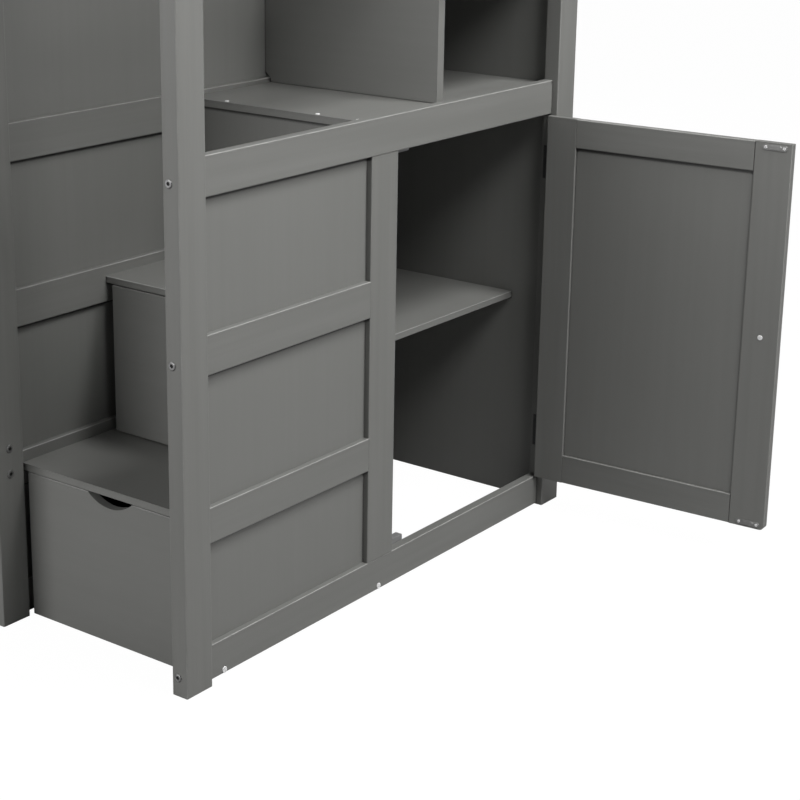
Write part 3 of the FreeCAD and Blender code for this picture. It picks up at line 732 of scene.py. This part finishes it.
angle = calc(heads, "MULTIPLY", calc(heads, "SUBTRACT", index, calc(heads, "MULTIPLY", row, SIDES + 1)),
             math.tau / SIDES)
print("tree:", heads.name, "has", len(RINGS), "rings of", SIDES, "points")

# %% [markdown]
# Each ring then gets a radius and a height, as shares of the sizes that the tree is given. A lobe
# rule pulls the rings of the hole into a hexagon or a cross: a wave round the axis makes the
# radius larger and smaller, and its number of crests is the number of lobes.


# %% Geometry tree: fastener heads, the turned shape
def share_by_row(column):
    """A number that depends on the row of the grid, taken from one column of RINGS."""
    switch = put(heads, "GeometryNodeIndexSwitch", data_type="FLOAT")
    while len(switch.index_switch_items) < len(RINGS):
        switch.index_switch_items.new()
    heads.links.new(row, switch.inputs["Index"])
    for k, ring in enumerate(RINGS):
        switch.inputs[k + 1].default_value = ring[column]
    return switch.outputs[0]


shares = [share_by_row(column) for column in range(5)]
wave = calc(heads, "COSINE", calc(heads, "MULTIPLY", angle, given["Lobes"]))
lobed = calc(heads, "ADD", calc(heads, "SUBTRACT", 1.0, given["Lobe Depth"]),
             calc(heads, "MULTIPLY", wave, given["Lobe Depth"]))
hole = calc(heads, "MULTIPLY", calc(heads, "MULTIPLY", shares[1], given["Hole Radius"]), lobed)
radius = calc(heads, "MULTIPLY_ADD", shares[0], given["Head Radius"], hole)
rise = calc(heads, "MULTIPLY_ADD", shares[2], given["Head Height"],
            calc(heads, "MULTIPLY", shares[3], given["Hole Depth"]))
rise = calc(heads, "SUBTRACT", rise, calc(heads, "MULTIPLY", shares[4], given["Sink"]))
place = put(heads, "ShaderNodeCombineXYZ", {0: calc(heads, "MULTIPLY", radius, calc(heads, "COSINE", angle)),
                                            1: calc(heads, "MULTIPLY", radius, calc(heads, "SINE", angle)),
                                            2: rise}).outputs[0]
# marks the hole, which the steel finishes paint dark as shade
hollow = calc(heads, "GREATER_THAN", row, HOLE_RIM + 0.5)
marked = put(heads, "GeometryNodeStoreNamedAttribute", {"Geometry": grid, "Name": "in_the_hole",
                                                        "Value": hollow},
             data_type="FLOAT", domain="POINT").outputs[0]
wrapped = put(heads, "GeometryNodeSetPosition", {"Geometry": marked, "Position": place}).outputs[0]
closed = put(heads, "GeometryNodeMergeByDistance", {"Geometry": wrapped, "Distance": 1e-6}).outputs[0]
print("tree:", heads.name, "wraps its grid in", len(heads.nodes), "nodes")

# %% [markdown]
# Last, the head is put on each point, turned to face outwards, and spun by a random amount, as a
# fitter leaves them. The copies are made real, so that they are still there in the export.

# %% Geometry tree: fastener heads, one on each point
facing = put(heads, "GeometryNodeInputNamedAttribute", {"Name": "facing"},
             data_type="FLOAT_VECTOR").outputs[0]
aimed = put(heads, "FunctionNodeAlignRotationToVector", {"Vector": facing}, axis="Z").outputs[0]
spins = put(heads, "FunctionNodeRandomValue", {"Seed": given["Seed"]}, data_type="FLOAT")
for socket, value in zip([s for s in spins.inputs if s.enabled and s.type == "VALUE"], (0.0, math.tau)):
    socket.default_value = value
spin = put(heads, "ShaderNodeCombineXYZ", {2: [o for o in spins.outputs if o.enabled][0]}).outputs[0]
turned = put(heads, "FunctionNodeRotateRotation", {"Rotation": aimed, "Rotate By": spin},
             rotation_space="LOCAL").outputs[0]
placed = put(heads, "GeometryNodeInstanceOnPoints", {"Points": given["Geometry"], "Instance": closed,
                                                     "Rotation": turned}).outputs[0]
real = put(heads, "GeometryNodeRealizeInstances", {0: placed}).outputs[0]
faceted = put(heads, "GeometryNodeSetShadeSmooth", {"Geometry": real, "Shade Smooth": False}).outputs[0]
finished = put(heads, "GeometryNodeSetMaterial", {"Geometry": faceted,
                                                  "Material": given["Finish"]}).outputs[0]
heads.links.new(finished, result["Geometry"])
print("tree:", heads.name, "with", len(heads.nodes), "nodes")

# %% [markdown]
# A fastener's solid says where its head goes. The head is the wide end, so the widest points
# along the solid's axis mark it, and it faces away from the shank.


# %% Where a head goes
def head_of(solid, axis=None):
    """The middle of a fastener's head where it meets the wood, and the way it faces."""
    low, high = box_of(solid)
    if axis is None:
        size = high - low
        axis = Vector([float(k == max(range(3), key=lambda i: size[i])) for k in range(3)])
    middle = (low + high) / 2
    rows = [((p - middle).dot(axis), ((p - middle) - axis * (p - middle).dot(axis)).length) for p in solid]
    widest = max(width for _, width in rows)
    reach = [along for along, width in rows if width > 0.9 * widest]
    near, far = min(reach), max(reach)
    if near + far < 0:
        axis, near, far = -axis, -far, -near
    return middle + axis * near, axis


def heads_mesh(name, spots):
    mesh = bpy.data.meshes.new(name)
    mesh.from_pydata([place for place, _ in spots], [], [])
    attribute = mesh.attributes.new("facing", "FLOAT_VECTOR", "POINT")
    for k, (_, way) in enumerate(spots):
        attribute.data[k].vector = way
    return mesh


bolt_spots = [head_of(solid) for solid in solids_of("frame_bolts")]
screw_spots = [head_of(solid) for solid in solids_of("frame_screws")]
print("bolts:", len(bolt_spots), "screws in the frame:", len(screw_spots))

# %% [markdown]
# The bolts have a hexagonal socket and the screws have a cross. The screws in the bottom rail are
# larger and bright, and those in the tread are small and dull. Only the sizes and the finish
# given to the tree differ.

# %% Bolts and screws of the frame
SOCKET = {"Head Radius": 0.0062, "Head Height": 0.0017, "Hole Radius": 0.0029, "Hole Depth": 0.0013,
          "Lobes": 6.0, "Lobe Depth": 0.07, "Finish": zinc, "Seed": 3}
CROSS = {"Head Radius": 0.0036, "Head Height": 0.0009, "Hole Radius": 0.0021, "Hole Depth": 0.0008,
         "Lobes": 4.0, "Lobe Depth": 0.40, "Finish": dull_nickel, "Seed": 5}
RAIL_HEAD = {**CROSS, "Head Radius": 0.0052, "Head Height": 0.0014, "Hole Radius": 0.003, "Finish": zinc}
rail_spots = [(place, way) for place, way in screw_spots if way.x > 0.5]
tread_spots = [(place, way) for place, way in screw_spots if way.z > 0.5]
stands_for(grow("bolt_heads", heads_mesh("bolts", bolt_spots), heads, SOCKET), "frame_bolts")
rail_heads = grow("rail_heads", heads_mesh("rail", rail_spots), heads, RAIL_HEAD)
tread_heads = grow("tread_heads", heads_mesh("tread", tread_spots), heads, CROSS)
stands_for(join("screw_heads", [rail_heads, tread_heads]), "frame_screws")

# %% [markdown]
# The fasteners in the door lie across it, and the door stands open, so their axis is turned by
# the angle that the door hinge has left to close. The knob's screw is larger than the plates'
# screws, and each size is grown by itself from the same tree.

# %% Screws of the door
hinge = next(joint for joint in frame["joints"] if joint["child"] == "door")
opened = math.radians(-hinge["range_deg"][0])
DOOR_INSIDE = Vector((-math.cos(opened), -math.sin(opened), 0))
spots_by_size = {}
for solid in solids_of("door_screws"):
    low, high = box_of(solid)
    spots_by_size.setdefault(round(high.z - low.z, 4), []).append(head_of(solid, DOOR_INSIDE.copy()))
door_heads = []
for wide, spots in sorted(spots_by_size.items()):
    size = {**CROSS, "Head Radius": wide / 2, "Hole Radius": wide * 0.3, "Head Height": wide * 0.14}
    door_heads.append(grow(f"door_heads_{len(door_heads)}", heads_mesh("door", spots), heads, size))
stands_for(join("door_screw_heads", door_heads), "door_screws")

# %% [markdown]
# The cupboard door shuts on to magnets, which pull on two small steel plates inside its free edge.
# A plate has round ends and a low pressed pad between its screws. It could be cut from a solid,
# but it is simpler to stack outlines: each ring is the last one drawn in a little and raised.


# %% Stacked outlines
def stadium(length, tall, shrink, steps=8):
    """The outline of a plate with round ends, as points across and up."""
    radius = tall / 2 - shrink
    straight = length / 2 - tall / 2
    angles = [math.pi * (k / steps - 0.5) for k in range(steps + 1)]
    right = [(straight + radius * math.cos(a), radius * math.sin(a)) for a in angles]
    return right + [(-x, -y) for x, y in right]


def stack(mesh, rings, put_point):
    """Joins outlines into a closed shell. Each ring is its outline and its height."""
    loops = [[mesh.verts.new(put_point(x, y, rise)) for x, y in outline] for outline, rise in rings]
    for low, high in zip(loops, loops[1:]):
        for k in range(len(low)):
            n = (k + 1) % len(low)
            mesh.faces.new((low[k], low[n], high[n], high[k]))
    mesh.faces.new(loops[0][::-1])
    mesh.faces.new(loops[-1])


print("points round a plate:", len(stadium(1.0, 0.2, 0.0)))

# %% [markdown]
# Each plate is built where its solid lies. The solid's reach along three directions of the door
# gives its length, thickness and height, and the point on the door's face that it sits on.

# %% Strike plates
UP = Vector((0, 0, 1))
ACROSS_DOOR = DOOR_INSIDE.cross(UP)
PAD_LENGTH, PAD_TALL, PAD_RISE = 0.024, 0.0075, 0.0007
plates = bmesh.new()
for solid in solids_of("strike_plates"):
    reach = {name: [p.dot(way) for p in solid] for name, way in
             (("across", ACROSS_DOOR), ("out", DOOR_INSIDE), ("up", UP))}
    length, thick, tall = (max(reach[name]) - min(reach[name]) for name in ("across", "out", "up"))
    seat = (ACROSS_DOOR * (max(reach["across"]) + min(reach["across"])) / 2 + DOOR_INSIDE * min(reach["out"])
            + UP * (max(reach["up"]) + min(reach["up"])) / 2)

    def on_door(x, y, rise):
        return seat + ACROSS_DOOR * x + UP * y + DOOR_INSIDE * rise

    stack(plates, [(stadium(length, tall, 0), 0), (stadium(length, tall, 0), thick * 0.6),
                   (stadium(length, tall, 0.0004), thick)], on_door)
    stack(plates, [(stadium(PAD_LENGTH, PAD_TALL, 0), thick * 0.5), (stadium(PAD_LENGTH, PAD_TALL, 0), thick),
                   (stadium(PAD_LENGTH, PAD_TALL, PAD_RISE), thick + PAD_RISE)], on_door)
bmesh.ops.recalc_face_normals(plates, faces=plates.faces)
plate_mesh = bpy.data.meshes.new("door_strike_plates")
plates.to_mesh(plate_mesh)
plates.free()
plate_mesh.materials.append(dull_nickel)
stands_for(link(bpy.data.objects.new("door_strike_plates", plate_mesh)), "strike_plates")
